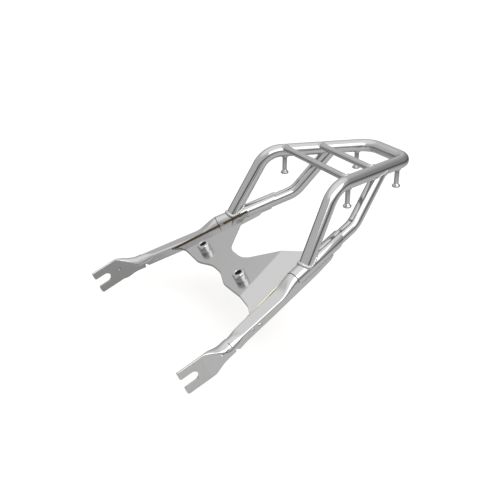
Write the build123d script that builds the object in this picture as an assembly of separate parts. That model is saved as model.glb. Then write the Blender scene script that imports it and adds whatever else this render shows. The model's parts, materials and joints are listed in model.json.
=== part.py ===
from build123d import *
import math
import os

# Chrome plated luggage rack for the tail of a motorcycle, in millimetres.
# The origin is midway between the two fork slots that hang on the shock absorber studs.
# X points to the left of the motorcycle, Y to the rear and Z up, with the deck level.

# Round tube of the hoop and the braces
TUBE_DIAMETER = 19.0
TUBE_WALL = 1.5

# Deck hoop, on the centre line of its tube
DECK_HEIGHT = 180.0
DECK_FRONT_Y = 241.5
DECK_REAR_Y = 400.0
DECK_FRONT_HALF_WIDTH = 89.5
DECK_REAR_HALF_WIDTH = 42.5
DECK_FRONT_BEND_RADIUS = 38.0
DECK_REAR_BEND_RADIUS = 25.0

# Line of the left side rail, from the joint between the pressed rail and its sleeve
RAIL_JOINT = Vector(108.3, 172.0, 72.2)
RAIL_SPLAY = 0.28
RAIL_RISE = 0.364

# Sleeve over the brace tube, measured to the rear of the joint
SLEEVE_DIAMETER = 22.0
SLEEVE_TOP_LENGTH = 93.5
SLEEVE_BOTTOM_LENGTH = 79.5
JOINT_GROOVE = 1.4
LEG_FOOT_DISTANCE = 16.5

# Brace tube
BRACE_TOP_Y = 340.5
BRACE_BEND_DISTANCE = 124.3
BRACE_BEND_RADIUS = 40.0
BRACE_SPIGOT = 2.0

# Pressed side rail, open below; stations are measured forward of the joint
SHEET = 1.5
RAIL_HALF_WIDTH = 10.8
RAIL_FRONT_HALF_WIDTH = 9.6
RAIL_TOP_DROP = 1.6
RAIL_DEPTH = 11.5
RAIL_DEPTH_GAIN = 0.02
RAIL_EDGE_RADIUS = 3.0
REAR_HOOD_STRAIGHT = 2.0
REAR_HOOD_END = 40.0
RAIL_TAPER_START = 60.0
FRONT_HOOD_START = 109.0
FRONT_HOOD_STRAIGHT = 127.0
RAIL_FRONT = 131.0
SPIGOT_LENGTH = 5.0
SPIGOT_ROOT = 3.0
SOCKET_STEP = 0.7
FULL_ROUND_MARGIN = 0.01
FRONT_NOTCH = 6.5
EAR_LENGTH = 65.0
EAR_TOP_DROP = 4.5
EAR_TIP_HEIGHT = 2.5
EAR_TIP_SLOPE = 6.0
EAR_TIP_DEPTH = 10.0
EAR_BACK_LENGTH = 29.0
EAR_BACK_LIFT = 0.5
RAIL_HOLE_DIAMETER = 3.5
RAIL_HOLE_STATION = 96.0
RAIL_HOLE_DROP = 6.8
RELIEF_STATION = 84.0
RELIEF_DROP = 8.0
RELIEF_LENGTH = 7.5
RELIEF_WIDTH = 2.6
RELIEF_ANGLE = 30.0

# Fork bracket, a tube end pressed flat and slotted
FORK_OUTER_FACE_X = 155.1
FORK_THICKNESS = 3.2
FORK_TILT = 23.2
FORK_HALF_HEIGHT = 18.8
FORK_MOUTH = 16.5
FORK_CREASE = 22.5
CREASE_DISTANCE = 18.8
CREASE_RADIUS = 1.5
CREASE_DEPTH = 0.35
FLAT_CORNER_SHARE = 0.75
SLOT_WIDTH = 14.0
UPPER_PRONG_RADIUS = 2.5
LOWER_PRONG_RADIUS = 4.5
SOCKET_DIAMETER = 21.5
SOCKET_WALL = 1.5
SOCKET_AXIS_DROP = 9.8
SOCKET_AXIS_SHIFT = 1.3
SOCKET_STRAIGHT = 10.0
VENT_DIAMETER = 4.0
VENT_DISTANCE = 22.8
VENT_RISE = 1.2
TRANSITION_SHARES = (0.35, 0.7, 1.0, 1.5)
CAVITY_START = 0.04
CAVITY_END = 2.4
SEAM_WIDTH = 1.3
SEAM_ANGLE = 37.0
SEAM_HOOK_ANGLE = 72.0
SEAM_START = 21.0
SEAM_END = 3.0

# Folded centre plate; its flat middle rises to the rear
PLATE_THICKNESS = 2.5
PLATE_SLOPE = 0.475
PLATE_HEIGHT_AT_AXIS = 2.85
FOLD_FRONT = Vector(82.3, 107.3, 0)
FOLD_REAR = Vector(57.7, 180.0, 0)
WING_OUTER_POINT = Vector(116.5, 98.7, 41.2)
FOLD_RADIUS = 5.0
FOLD_EDGE_FLOOR = 30.0
PLATE_FRONT_Y = 101.0
PLATE_FRONT_RECESS = 9.0
PLATE_RECESS_INNER_X = 12.0
PLATE_RECESS_OUTER_X = 39.0
PLATE_RECESS_RADIUS = 40.0
PLATE_FLARE_X = 104.0
PLATE_FLARE_STEP = 1.8
PLATE_FLARE_RADIUS = 12.0
PLATE_FRONT_CORNER_Y = 94.3
PLATE_REAR_CORNER_Y = 220.0
PLATE_REAR_Y = 141.5
PLATE_REAR_FLAT_X = 19.0
PLATE_REAR_RADIUS = 30.0

# Boss collars on the plate
BOSS_X = 53.6
BOSS_Y = 120.2
BOSS_DIAMETER = 18.5
BOSS_BORE = 9.0
BOSS_HEIGHT = 11.5
BOSS_EDGE = 1.0

# Crossbars of the deck
CROSSBAR_DIAMETER = 10.0
FRONT_CROSSBAR_Y = 267.0
REAR_CROSSBAR_Y = 321.0
CROSSBAR_RISE = 4.5
CROSSBAR_INSET = 5.5
CROSSBAR_END_ANGLE = 65.0
CROSSBAR_END_LENGTH = 9.0
CROSSBAR_BEND_RADIUS = 7.0

# Hook posts under the hoop
HOOK_DIAMETER = 7.0
HOOK_HEAD_DIAMETER = 12.0
HOOK_LENGTH = 27.7
HOOK_HEAD_HEIGHT = 6.5
HOOK_RIM_START = 2.2
HOOK_RIM_END = 3.7
HOOK_FACE_RADIUS = 3.9
HOOK_FACE_RISE = 0.65
HOOK_FLARE_DIAMETER = 11.0
FRONT_HOOK_Y = 269.0
REAR_HOOK_Y = 378.7

# Weld collars, by their size up the branch and out over the main tube
LEG_WELD_SIZES = (2.2, 3.6)
BRACE_WELD_SIZES = (1.4, 1.4)
WELD_START = 2.5


# Layout

RAIL_PLANE = Plane(
    origin=RAIL_JOINT,
    x_dir=(1, RAIL_SPLAY, 0),
    z_dir=(RAIL_SPLAY, -1, -RAIL_RISE),
)
SIDE_PLANE = Plane(
    origin=RAIL_JOINT, x_dir=RAIL_PLANE.z_dir, z_dir=-RAIL_PLANE.x_dir
)
TUBE_RADIUS = TUBE_DIAMETER / 2
SLEEVE_RADIUS = SLEEVE_DIAMETER / 2
SOCKET_RADIUS = SOCKET_DIAMETER / 2
SOCKET_BORE_RADIUS = SOCKET_RADIUS - SOCKET_WALL
LEG_FOOT = RAIL_PLANE.offset(-LEG_FOOT_DISTANCE).origin
LEG_TOP = Vector(DECK_FRONT_HALF_WIDTH, DECK_FRONT_Y, DECK_HEIGHT)
LEG_DIRECTION = (LEG_TOP - LEG_FOOT).normalized()
FORK_PLANE = Plane(
    origin=(FORK_OUTER_FACE_X - FORK_THICKNESS, 0, 0),
    x_dir=(0, math.cos(math.radians(FORK_TILT)), math.sin(math.radians(FORK_TILT))),
    z_dir=(1, 0, 0),
)
PLATE_NORMAL = Vector(0, -PLATE_SLOPE, 1).normalized()


def deck_half_width(y):
    """Half width between the hoop's side runs at one distance to the rear."""
    share = (y - DECK_FRONT_Y) / (DECK_REAR_Y - DECK_FRONT_Y)
    return DECK_FRONT_HALF_WIDTH + share * (DECK_REAR_HALF_WIDTH - DECK_FRONT_HALF_WIDTH)


def plate_top(x, y):
    """Point of the plate's flat top surface above a place in plan."""
    return Vector(x, y, PLATE_HEIGHT_AT_AXIS + PLATE_SLOPE * y)


def mirrored(shape):
    """The right hand copy of a left hand piece."""
    return mirror(shape, about=Plane.YZ)


def rod_along(path, radius):
    """Solid round bar that follows a path."""
    return sweep(Plane(path ^ 0) * Circle(radius), path=path)


def tube_along(path, radius, wall):
    """Round tube that follows a path."""
    section = Circle(radius) - Circle(radius - wall)
    return sweep(Plane(path ^ 0) * section, path=path)


# Hoop and braces

def hoop_path():
    """Centre line of the hoop from the left leg's foot to the right leg's foot."""
    left = [
        LEG_FOOT,
        LEG_TOP,
        Vector(DECK_REAR_HALF_WIDTH, DECK_REAR_Y, DECK_HEIGHT),
    ]
    right = [Vector(-point.X, point.Y, point.Z) for point in reversed(left)]
    radii = [
        DECK_FRONT_BEND_RADIUS,
        DECK_REAR_BEND_RADIUS,
        DECK_REAR_BEND_RADIUS,
        DECK_FRONT_BEND_RADIUS,
    ]
    return FilletPolyline(*left, *right, radius=radii)


def brace_path():
    """Centre line of the left brace from the side rail up to the hoop."""
    return FilletPolyline(
        RAIL_PLANE.offset(BRACE_SPIGOT).origin,
        RAIL_PLANE.offset(-BRACE_BEND_DISTANCE).origin,
        Vector(deck_half_width(BRACE_TOP_Y), BRACE_TOP_Y, DECK_HEIGHT),
        radius=BRACE_BEND_RADIUS,
    )


def sleeve_body(radius):
    """Cylinder on the rail line with the sleeve's oblique rear end."""
    length = SLEEVE_TOP_LENGTH - JOINT_GROOVE
    start = RAIL_PLANE.offset(-JOINT_GROOVE)
    body = start * Pos(0, 0, -length) * Cylinder(
        radius, length, align=(Align.CENTER, Align.CENTER, Align.MIN)
    )
    lean = math.atan2(SLEEVE_TOP_LENGTH - SLEEVE_BOTTOM_LENGTH, SLEEVE_DIAMETER)
    middle = (SLEEVE_TOP_LENGTH + SLEEVE_BOTTOM_LENGTH) / 2
    end_plane = Plane(RAIL_PLANE.offset(-middle) * Rot(X=math.degrees(lean)))
    return split(body, bisect_by=end_plane, keep=Keep.TOP)


def make_sleeve():
    """Left sleeve that carries the hoop's leg."""
    return sleeve_body(SLEEVE_RADIUS) - sleeve_body(TUBE_RADIUS)


# Pressed side rail

def arch_face(centre, half_width, top, radius, bottom):
    """Section of the rail: straight sides under a top with rounded corners."""
    left = centre - half_width
    right = centre + half_width
    outline = [
        Line((left, bottom), (right, bottom)),
        Line((right, bottom), (right, top - radius)),
        CenterArc((right - radius, top - radius), radius, 0, 90),
        Line((right - radius, top), (left + radius, top)),
        CenterArc((left + radius, top - radius), radius, 90, 90),
        Line((left, top - radius), (left, bottom)),
    ]
    return make_face(outline)


def rail_stations():
    """Sections along the rail as station, centre, half width, top and edge radius."""
    front_radius = SOCKET_RADIUS - SOCKET_STEP
    rear_round = (0.0, SLEEVE_RADIUS, SLEEVE_RADIUS, SLEEVE_RADIUS - FULL_ROUND_MARGIN)
    rear_flat = (0.0, RAIL_HALF_WIDTH, -RAIL_TOP_DROP, RAIL_EDGE_RADIUS)
    front_flat = (
        SOCKET_AXIS_SHIFT / 2,
        RAIL_FRONT_HALF_WIDTH,
        -RAIL_TOP_DROP,
        RAIL_EDGE_RADIUS,
    )
    front_round = (
        SOCKET_AXIS_SHIFT,
        front_radius,
        front_radius - SOCKET_AXIS_DROP,
        front_radius - FULL_ROUND_MARGIN,
    )
    rear = blended(REAR_HOOD_STRAIGHT, rear_round, REAR_HOOD_END, rear_flat)
    front = blended(FRONT_HOOD_START, front_flat, FRONT_HOOD_STRAIGHT, front_round)
    return rear, [(RAIL_TAPER_START, *rear_flat)], front


def blended(start, first, end, second, steps=6):
    """Stations that ease from one section to another."""
    stations = []
    for step in range(steps + 1):
        share = step / steps
        ease = share * share * (3 - 2 * share)
        values = [a + ease * (b - a) for a, b in zip(first, second)]
        stations.append((start + share * (end - start), *values))
    return stations


def rail_bottom(station):
    """Height of the rail's lower edge, which drops slowly to the front."""
    return -RAIL_TOP_DROP - RAIL_DEPTH - RAIL_DEPTH_GAIN * station


def rail_face(station, inset, drop):
    """Section of the rail, shrunk by an inset and drawn further down by a drop."""
    place, centre, half_width, top, radius = station
    face = arch_face(
        centre, half_width - inset, top - inset, radius - inset, rail_bottom(place) - drop
    )
    return RAIL_PLANE.offset(place) * face


def rail_body(inset, drop):
    """Filled body of the rail between the joint and its front end."""
    rear, middle, front = rail_stations()
    rear_faces = [rail_face(station, inset, drop) for station in rear]
    front_faces = [rail_face(station, inset, drop) for station in front]
    flat_faces = [
        rear_faces[-1],
        *[rail_face(station, inset, drop) for station in middle],
        front_faces[0],
    ]
    rear_end = rail_face((0.0, *rear[0][1:]), inset, drop)
    front_end = rail_face((RAIL_FRONT, *front[-1][1:]), inset, drop)
    body = loft([rear_end, rear_faces[0]], ruled=True)
    body += loft(rear_faces)
    body += loft(flat_faces, ruled=True)
    body += loft(front_faces)
    body += loft([front_faces[-1], front_end], ruled=True)
    return body


def rail_spigot():
    """Half round tongue that enters the fork bracket's socket."""
    plane = RAIL_PLANE.offset(RAIL_FRONT) * Pos(SOCKET_AXIS_SHIFT, -SOCKET_AXIS_DROP)
    inside = Circle(SOCKET_BORE_RADIUS - SHEET)
    upper = Rectangle(
        SOCKET_DIAMETER, SOCKET_RADIUS, align=(Align.CENTER, Align.MIN)
    )
    tongue = plane * ((Circle(SOCKET_BORE_RADIUS) - inside) & upper)
    return extrude(tongue, amount=SPIGOT_LENGTH) + extrude(tongue, amount=-SPIGOT_ROOT)


def make_ears():
    """Two cheeks that run on below the sleeve."""
    bottom = rail_bottom(0)
    profile = make_face(
        Polyline(
            (0, bottom),
            (0, -EAR_TOP_DROP),
            (-EAR_LENGTH, -EAR_TOP_DROP),
            (-EAR_LENGTH, -EAR_TOP_DROP - EAR_TIP_HEIGHT),
            (-EAR_LENGTH + EAR_TIP_SLOPE, -EAR_TIP_DEPTH),
            (-EAR_BACK_LENGTH, bottom + EAR_BACK_LIFT),
            close=True,
        )
    )
    outer = SIDE_PLANE.offset(-SLEEVE_RADIUS) * profile
    inner = SIDE_PLANE.offset(SLEEVE_RADIUS - SHEET) * profile
    ears = extrude(outer, amount=SHEET) + extrude(inner, amount=SHEET)
    return ears


def make_side_rail():
    """Left side rail with its hoods, cheeks, holes and notches."""
    body = rail_body(0.0, 0.0) - rail_body(SHEET, SLEEVE_DIAMETER)
    body += rail_spigot()
    ears = make_ears() - RAIL_PLANE * Cylinder(SLEEVE_RADIUS, 4 * EAR_LENGTH)
    body += ears
    return body - rail_cuts()


def rail_cuts():
    """Openings in the outer wall and the tapered notches behind the socket."""
    hole = Pos(RAIL_HOLE_STATION, -RAIL_HOLE_DROP) * Circle(RAIL_HOLE_DIAMETER / 2)
    relief = (
        Pos(RELIEF_STATION, -RELIEF_DROP)
        * Rot(Z=RELIEF_ANGLE)
        * SlotOverall(RELIEF_LENGTH, RELIEF_WIDTH)
    )
    openings = extrude(SIDE_PLANE * (Sketch() + [hole, relief]), amount=-SLEEVE_DIAMETER)
    bottom = rail_bottom(RAIL_FRONT)
    notch = make_face(
        Polyline(
            (RAIL_FRONT, -SOCKET_AXIS_DROP),
            (RAIL_FRONT, bottom),
            (RAIL_FRONT - FRONT_NOTCH, bottom),
            close=True,
        )
    )
    return openings + extrude(SIDE_PLANE * notch, amount=SLEEVE_DIAMETER, both=True)


# Fork bracket

def fork_profile():
    """Flat slotted end of the bracket, seen from the left."""
    half = FORK_HALF_HEIGHT
    blade = make_face(
        Polyline(
            (-FORK_MOUTH, half),
            (FORK_CREASE, half),
            (FORK_CREASE, -half),
            (-FORK_MOUTH, -half),
            close=True,
        )
    )
    blade -= Circle(SLOT_WIDTH / 2)
    blade -= Rectangle(
        2 * FORK_MOUTH, SLOT_WIDTH, align=(Align.MAX, Align.CENTER)
    )
    mouth = blade.vertices().group_by(Axis.X)[0].sort_by(Axis.Y)
    blade = fillet(mouth[0], LOWER_PRONG_RADIUS)
    mouth = blade.vertices().filter_by_position(
        Axis.X, -FORK_MOUTH - 0.01, -FORK_MOUTH + 0.01
    )
    mouth = mouth.sort_by(Axis.Y)[1:]
    return fillet(mouth, UPPER_PRONG_RADIUS)


def socket_plane(station):
    """Plane across the socket, seen from the rear, at one station of the rail."""
    centre = RAIL_PLANE.offset(station) * Pos(SOCKET_AXIS_SHIFT, -SOCKET_AXIS_DROP)
    return Plane(
        origin=centre.position, x_dir=-RAIL_PLANE.x_dir, z_dir=-RAIL_PLANE.z_dir
    )


def transition_face(share, inset):
    """Section between the flat blade at share 0 and the round socket at share 1."""
    crease_centre = FORK_PLANE * Pos(FORK_CREASE, 0, FORK_THICKNESS / 2)
    crease = Plane(
        origin=crease_centre.position, x_dir=(-1, 0, 0), z_dir=FORK_PLANE.x_dir
    )
    socket = socket_plane(RAIL_FRONT + SOCKET_STRAIGHT)
    place = min(share, 1.0)
    origin = crease.origin + (socket.origin - crease.origin) * place
    if share > 1.0:
        origin = origin + socket.z_dir * SOCKET_STRAIGHT * (share - 1.0)
    plane = Plane(
        origin=origin,
        x_dir=crease.x_dir * (1 - place) + socket.x_dir * place,
        z_dir=crease.z_dir * (1 - place) + socket.z_dir * place,
    )
    ease = place * place * (3 - 2 * place)
    width = FORK_THICKNESS + (SOCKET_DIAMETER - FORK_THICKNESS) * place
    height = 2 * FORK_HALF_HEIGHT + (SOCKET_DIAMETER - 2 * FORK_HALF_HEIGHT) * ease
    round_share = 1 - FULL_ROUND_MARGIN / SOCKET_RADIUS
    share_now = FLAT_CORNER_SHARE + (round_share - FLAT_CORNER_SHARE) * place
    corner = (width / 2 - inset) * share_now
    return plane * RectangleRounded(width - 2 * inset, height - 2 * inset, corner)


def transition_body(shares, inset):
    """Loft through sections of the transition, then straight to the last share."""
    curved = loft([transition_face(share, inset) for share in shares[:-1]])
    straight = loft(
        [transition_face(share, inset) for share in shares[-2:]], ruled=True
    )
    return curved + straight


def socket_seam():
    """Open seam on the outer side of the socket, hooked over its top."""
    wall = 3 * SOCKET_WALL
    start = socket_plane(RAIL_FRONT + SEAM_END)
    slit = (
        Rot(Z=-SEAM_ANGLE)
        * Pos(-SOCKET_RADIUS + wall / 2, 0)
        * Rectangle(SOCKET_RADIUS, SEAM_WIDTH, align=(Align.MAX, Align.CENTER))
    )
    run = extrude(start * slit, amount=-(SEAM_START - SEAM_END))
    ring = Circle(SOCKET_RADIUS + wall / 2) - Circle(SOCKET_RADIUS - wall / 2)
    hook_span = Polyline(
        (0, 0),
        polar_point(180 - SEAM_ANGLE),
        polar_point(180 - SEAM_HOOK_ANGLE),
        close=True,
    )
    hook = extrude(start * (ring & make_face(hook_span)), amount=-SEAM_WIDTH)
    return run + hook


def polar_point(angle):
    """Far point at one angle, used to cut sectors."""
    turn = math.radians(angle)
    reach = 2 * SOCKET_DIAMETER
    return (reach * math.cos(turn), reach * math.sin(turn))


def make_fork_bracket():
    """Left fork bracket: a round tube end that flows into a flat slotted blade."""
    bar = extrude(transition_face(0.0, 0.0), amount=-(FORK_CREASE + FORK_MOUTH))
    blade = extrude(FORK_PLANE * fork_profile(), amount=FORK_THICKNESS) & bar
    body = blade + transition_body((0.0, *TRANSITION_SHARES, 2.0), 0.0)
    body -= transition_body((CAVITY_START, *TRANSITION_SHARES, CAVITY_END), SOCKET_WALL)
    vent = FORK_PLANE * Pos(VENT_DISTANCE, VENT_RISE) * Circle(VENT_DIAMETER / 2)
    body -= extrude(vent, amount=FORK_THICKNESS / 2, both=True)
    return body - crease_grooves() - socket_seam()


def crease_grooves():
    """Shallow press marks across both faces where the blade begins."""
    lift = CREASE_RADIUS - CREASE_DEPTH
    roller = Rot(X=90) * Cylinder(CREASE_RADIUS, 4 * FORK_HALF_HEIGHT)
    below_face = FORK_PLANE * Pos(CREASE_DISTANCE, 0, -lift) * roller
    above_face = FORK_PLANE * Pos(CREASE_DISTANCE, 0, FORK_THICKNESS + lift) * roller
    return Compound([below_face, above_face])


# Centre plate and its collars

def rail_line_x(y):
    """Distance of the side rail's line from the middle at one place to the rear."""
    return RAIL_JOINT.X + RAIL_SPLAY * (RAIL_JOINT.Y - y)


def plate_plan():
    """Outline of the plate in plan, out to the lines of the side rails."""
    half = [
        (PLATE_RECESS_INNER_X, PLATE_FRONT_Y + PLATE_FRONT_RECESS),
        (PLATE_RECESS_OUTER_X, PLATE_FRONT_Y),
        (PLATE_FLARE_X, PLATE_FRONT_Y + PLATE_FLARE_STEP),
        (rail_line_x(PLATE_FRONT_CORNER_Y), PLATE_FRONT_CORNER_Y),
        (rail_line_x(PLATE_REAR_CORNER_Y), PLATE_REAR_CORNER_Y),
        (PLATE_REAR_FLAT_X, PLATE_REAR_Y),
    ]
    other = [(-x, y) for x, y in reversed(half)]
    face = make_face(Polyline(*half, *other, close=True))
    rounds = {
        0: PLATE_RECESS_RADIUS,
        1: PLATE_RECESS_RADIUS,
        2: PLATE_FLARE_RADIUS,
        5: PLATE_REAR_RADIUS,
    }
    for index, radius in rounds.items():
        x, y = half[index]
        corners = [
            vertex
            for vertex in face.vertices()
            if abs(abs(vertex.X) - x) < 0.01 and abs(vertex.Y - y) < 0.01
        ]
        face = fillet(corners, radius)
    return face


def wing_normal():
    """Upward normal of the left wing, which passes through the fold line."""
    front = plate_top(FOLD_FRONT.X, FOLD_FRONT.Y)
    rear = plate_top(FOLD_REAR.X, FOLD_REAR.Y)
    normal = (rear - front).cross(WING_OUTER_POINT - front).normalized()
    return normal if normal.Z > 0 else -normal


def below(body, point, normal, depth):
    """The part of a body that lies under a plane sunk by a depth."""
    plane = Plane(origin=point - normal * depth, z_dir=normal)
    return split(body, bisect_by=plane, keep=Keep.BOTTOM)


def plate_body(depth, radius):
    """All that lies under the plate's folded surface sunk by a depth."""
    front = plate_top(FOLD_FRONT.X, FOLD_FRONT.Y)
    wing = wing_normal()
    body = extrude(plate_plan(), amount=DECK_HEIGHT)
    body = below(body, front, PLATE_NORMAL, depth)
    body = below(body, front, wing, depth)
    body = below(body, Vector(-front.X, front.Y, front.Z), Vector(-wing.X, wing.Y, wing.Z), depth)
    fold = PLATE_NORMAL.cross(wing).normalized()
    edges = [
        edge
        for edge in body.edges().filter_by(GeomType.LINE)
        if abs(abs(edge.tangent_at(0).Y) - abs(fold.Y)) < 0.001
        and abs(abs(edge.tangent_at(0).X) - abs(fold.X)) < 0.001
        and edge.center().Z > FOLD_EDGE_FLOOR
    ]
    return fillet(edges, radius)


def boss_plane(side):
    """Plane on the plate's top surface at a boss; side is 1 at the left, -1 at the right."""
    return Plane(origin=plate_top(side * BOSS_X, BOSS_Y), z_dir=PLATE_NORMAL)


def make_plate(neighbours):
    """Folded centre plate, cut to meet the rails and drilled under the collars."""
    sheet = plate_body(0.0, FOLD_RADIUS + PLATE_THICKNESS)
    sheet -= plate_body(PLATE_THICKNESS, FOLD_RADIUS)
    for side in (1, -1):
        drill = Cylinder(BOSS_BORE / 2, 4 * PLATE_THICKNESS)
        sheet -= boss_plane(side) * drill
    for body in neighbours:
        sheet -= body
    return sheet


def make_boss(side):
    """Bored collar on the plate."""
    collar = extrude(
        Circle(BOSS_DIAMETER / 2) - Circle(BOSS_BORE / 2), amount=BOSS_HEIGHT
    )
    rims = collar.edges().filter_by(GeomType.CIRCLE).group_by(Axis.Z)[-1]
    return boss_plane(side) * chamfer(rims, BOSS_EDGE)


# Deck fittings

def make_crossbar(y, hoop):
    """Crossbar whose ends turn down against the inner sides of the hoop."""
    half = deck_half_width(y) - CROSSBAR_INSET
    height = DECK_HEIGHT + CROSSBAR_RISE
    angle = math.radians(CROSSBAR_END_ANGLE)
    end_x = half + CROSSBAR_END_LENGTH * math.cos(angle)
    end_z = height - CROSSBAR_END_LENGTH * math.sin(angle)
    path = FilletPolyline(
        (end_x, y, end_z),
        (half, y, height),
        (-half, y, height),
        (-end_x, y, end_z),
        radius=CROSSBAR_BEND_RADIUS,
    )
    return rod_along(path, CROSSBAR_DIAMETER / 2) - hoop


def make_hook(side, y, hoop):
    """Turned hook post that hangs under the hoop."""
    shank = HOOK_DIAMETER / 2
    head = HOOK_HEAD_DIAMETER / 2
    flare = HOOK_FLARE_DIAMETER / 2
    top = HOOK_LENGTH
    profile = [
        ThreePointArc((0, 0), (HOOK_FACE_RADIUS, HOOK_FACE_RISE), (head, HOOK_RIM_START)),
        Polyline(
            (head, HOOK_RIM_START),
            (head, HOOK_RIM_END),
            (shank, HOOK_HEAD_HEIGHT),
            (shank, top - (flare - shank)),
            (flare, top + (flare - shank) / 2),
            (flare, top + shank),
            (0, top + shank),
            (0, 0),
        ),
    ]
    post = revolve(Plane.XZ * make_face(profile), axis=Axis.Z)
    tip = DECK_HEIGHT - TUBE_RADIUS - HOOK_LENGTH
    return Pos(side * deck_half_width(y), y, tip) * post - hoop


# Weld collars

def long_cylinder(point, direction, radius, length, start=0.0):
    """Cylinder along a direction from a point, started some way along it."""
    plane = Plane(origin=point + direction * start, z_dir=direction)
    return plane * Cylinder(radius, length, align=(Align.CENTER, Align.CENTER, Align.MIN))


def weld_collar(branch, branch_radius, main, main_radius, sizes, start):
    """Ring of weld metal round a branch tube where it meets a main tube."""
    reach = 4 * main_radius
    outer = long_cylinder(*branch, branch_radius + sizes[0], reach, start)
    inner = long_cylinder(*branch, branch_radius, 2 * reach, -reach)
    base_point = main[0] - main[1] * reach
    skin = long_cylinder(base_point, main[1], main_radius + sizes[1], 2 * reach)
    core = long_cylinder(base_point, main[1], main_radius, 2 * reach)
    return (outer & skin) - core - inner


def make_leg_weld():
    """Collar round the left leg's foot on its sleeve."""
    return weld_collar(
        (LEG_FOOT, LEG_DIRECTION),
        TUBE_RADIUS,
        (LEG_FOOT, RAIL_PLANE.z_dir),
        SLEEVE_RADIUS,
        LEG_WELD_SIZES,
        WELD_START,
    )


def make_brace_weld():
    """Collar round the top of the left brace under the hoop."""
    top = Vector(deck_half_width(BRACE_TOP_Y), BRACE_TOP_Y, DECK_HEIGHT)
    bend = RAIL_PLANE.offset(-BRACE_BEND_DISTANCE).origin
    corner = Vector(DECK_REAR_HALF_WIDTH, DECK_REAR_Y, DECK_HEIGHT)
    return weld_collar(
        (top, (bend - top).normalized()),
        TUBE_RADIUS,
        (top, (corner - LEG_TOP).normalized()),
        TUBE_RADIUS,
        BRACE_WELD_SIZES,
        WELD_START,
    )


def write(name, shape):
    """Write one named piece."""
    export_step(shape, f"parts/{name}.step")


def write_pair(name, left):
    """Write a left hand piece and its mirror image."""
    write(f"left_{name}", left)
    write(f"right_{name}", mirrored(left))


def main():
    """Build and write every piece."""
    os.makedirs("parts", exist_ok=True)
    hoop_solid = rod_along(hoop_path(), TUBE_RADIUS)
    rail_solid = rail_body(0.0, 0.0)
    sleeve_core = RAIL_PLANE * Pos(0, 0, REAR_HOOD_STRAIGHT) * Cylinder(
        SLEEVE_RADIUS,
        SLEEVE_TOP_LENGTH + REAR_HOOD_STRAIGHT,
        align=(Align.CENTER, Align.CENTER, Align.MAX),
    )
    hoop = tube_along(hoop_path(), TUBE_RADIUS, TUBE_WALL)
    hoop = hoop - sleeve_core - mirrored(sleeve_core)
    write("hoop_tube", hoop)
    write_pair("brace_tube", tube_along(brace_path(), TUBE_RADIUS, TUBE_WALL) - hoop_solid)
    write_pair("rail_sleeve", make_sleeve())
    side_rail = make_side_rail()
    write_pair("side_rail", side_rail)
    write_pair("fork_bracket", make_fork_bracket())
    neighbours = [rail_solid, sleeve_core, side_rail]
    plate = make_plate(neighbours + [mirrored(body) for body in neighbours])
    write("centre_plate", plate)
    write("left_boss_collar", make_boss(1))
    write("right_boss_collar", make_boss(-1))
    front_crossbar = make_crossbar(FRONT_CROSSBAR_Y, hoop_solid)
    rear_crossbar = make_crossbar(REAR_CROSSBAR_Y, hoop_solid)
    write("front_crossbar", front_crossbar)
    write("rear_crossbar", rear_crossbar)
    write("front_left_hook", make_hook(1, FRONT_HOOK_Y, hoop_solid))
    write("front_right_hook", make_hook(-1, FRONT_HOOK_Y, hoop_solid))
    write("rear_left_hook", make_hook(1, REAR_HOOK_Y, hoop_solid))
    write("rear_right_hook", make_hook(-1, REAR_HOOK_Y, hoop_solid))
    # The plate's edge parts a sliver from the ring, so only the ring is kept
    leg_weld = (make_leg_weld() - plate).solids().sort_by(SortBy.VOLUME)[-1]
    write_pair("leg_weld", leg_weld)
    write_pair("brace_weld", make_brace_weld() - rear_crossbar)


main()
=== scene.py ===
"""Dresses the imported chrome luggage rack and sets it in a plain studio."""
import json
import logging
import math
from dataclasses import dataclass
from enum import Enum

import bpy
from mathutils import Matrix, Vector

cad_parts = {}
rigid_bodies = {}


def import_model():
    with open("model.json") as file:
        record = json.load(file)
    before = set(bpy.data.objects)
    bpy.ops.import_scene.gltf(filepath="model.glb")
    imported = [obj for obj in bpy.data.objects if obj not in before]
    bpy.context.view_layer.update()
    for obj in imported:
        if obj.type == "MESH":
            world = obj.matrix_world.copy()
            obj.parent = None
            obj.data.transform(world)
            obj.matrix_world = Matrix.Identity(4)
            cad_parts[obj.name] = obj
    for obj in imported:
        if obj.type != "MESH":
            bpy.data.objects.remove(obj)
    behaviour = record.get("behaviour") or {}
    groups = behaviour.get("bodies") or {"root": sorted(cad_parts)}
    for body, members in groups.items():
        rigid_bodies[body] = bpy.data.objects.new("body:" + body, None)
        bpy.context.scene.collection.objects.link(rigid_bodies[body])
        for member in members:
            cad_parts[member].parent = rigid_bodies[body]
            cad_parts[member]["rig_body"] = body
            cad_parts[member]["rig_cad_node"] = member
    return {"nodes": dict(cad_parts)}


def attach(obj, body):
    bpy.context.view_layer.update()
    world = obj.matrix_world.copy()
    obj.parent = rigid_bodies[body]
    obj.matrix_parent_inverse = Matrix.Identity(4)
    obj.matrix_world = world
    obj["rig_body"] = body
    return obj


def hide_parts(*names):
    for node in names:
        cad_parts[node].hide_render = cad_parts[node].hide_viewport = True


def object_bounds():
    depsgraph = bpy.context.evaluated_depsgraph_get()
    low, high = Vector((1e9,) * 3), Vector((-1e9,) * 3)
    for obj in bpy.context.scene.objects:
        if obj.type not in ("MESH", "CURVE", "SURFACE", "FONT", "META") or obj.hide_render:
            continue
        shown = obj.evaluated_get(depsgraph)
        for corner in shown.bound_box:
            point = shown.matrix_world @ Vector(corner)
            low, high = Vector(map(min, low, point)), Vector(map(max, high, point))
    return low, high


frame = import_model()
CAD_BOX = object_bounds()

log = logging.getLogger("rack")

Triple = tuple[float, float, float]

MM = 0.001
UP = Vector((0.0, 0.0, 1.0))

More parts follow.
